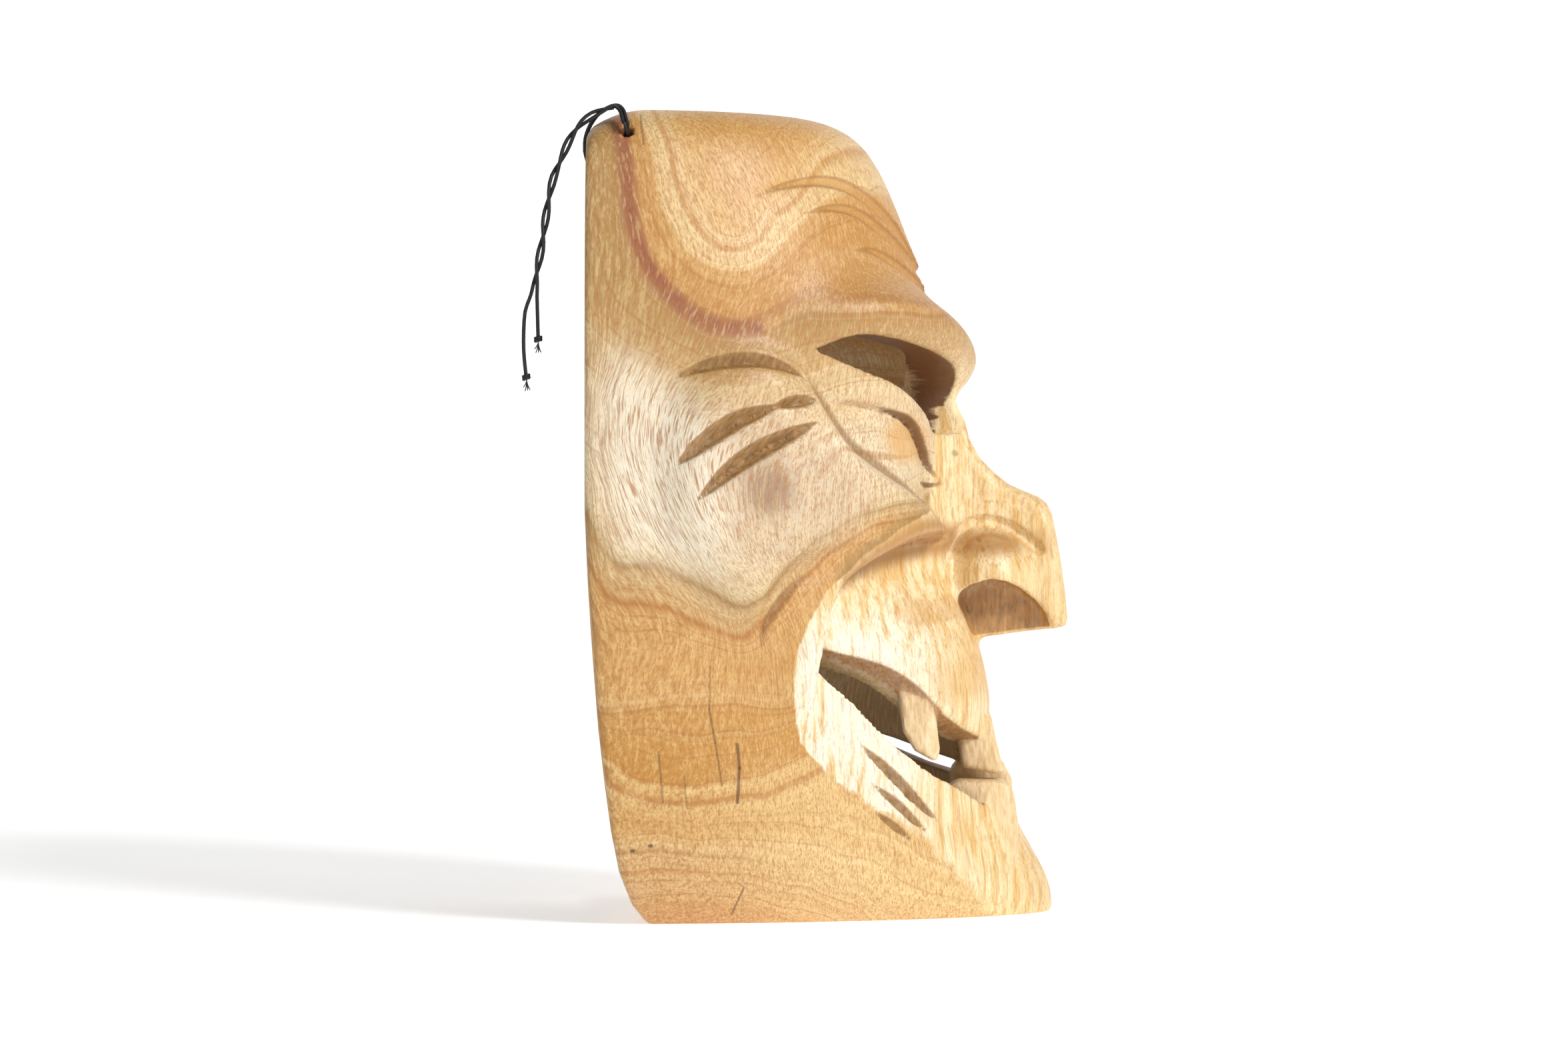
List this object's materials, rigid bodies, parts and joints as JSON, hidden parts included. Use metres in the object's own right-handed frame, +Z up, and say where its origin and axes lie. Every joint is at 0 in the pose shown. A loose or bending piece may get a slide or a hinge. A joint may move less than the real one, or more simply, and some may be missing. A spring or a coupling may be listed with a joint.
{
  "type": "carved wooden mask",
  "caption": "Hollow carved wooden face mask of a grinning old man, open at the back, standing on its flat chin, with a doubled hanging cord tied through its edge.",
  "frame": {"origin": "bottom centre of the mask's bounding box, on the flat underside, without the hanging cord", "axes": "+Z up from the chin to the crown; the face looks along -Y and the open back is at +Y; +X is the mask's own left side, and the cord is on the -X side"},
  "size_m": [0.1597, 0.1629, 0.2414],
  "materials": {
    "wood": "clear satin varnish",
    "cord": "waxed twisted black cord"
  },
  "bodies": {
    "root": {"mask": "wood", "cord_hitch": "cord", "cord_long": "cord", "cord_short": "cord"}
  },
  "joints": []
}
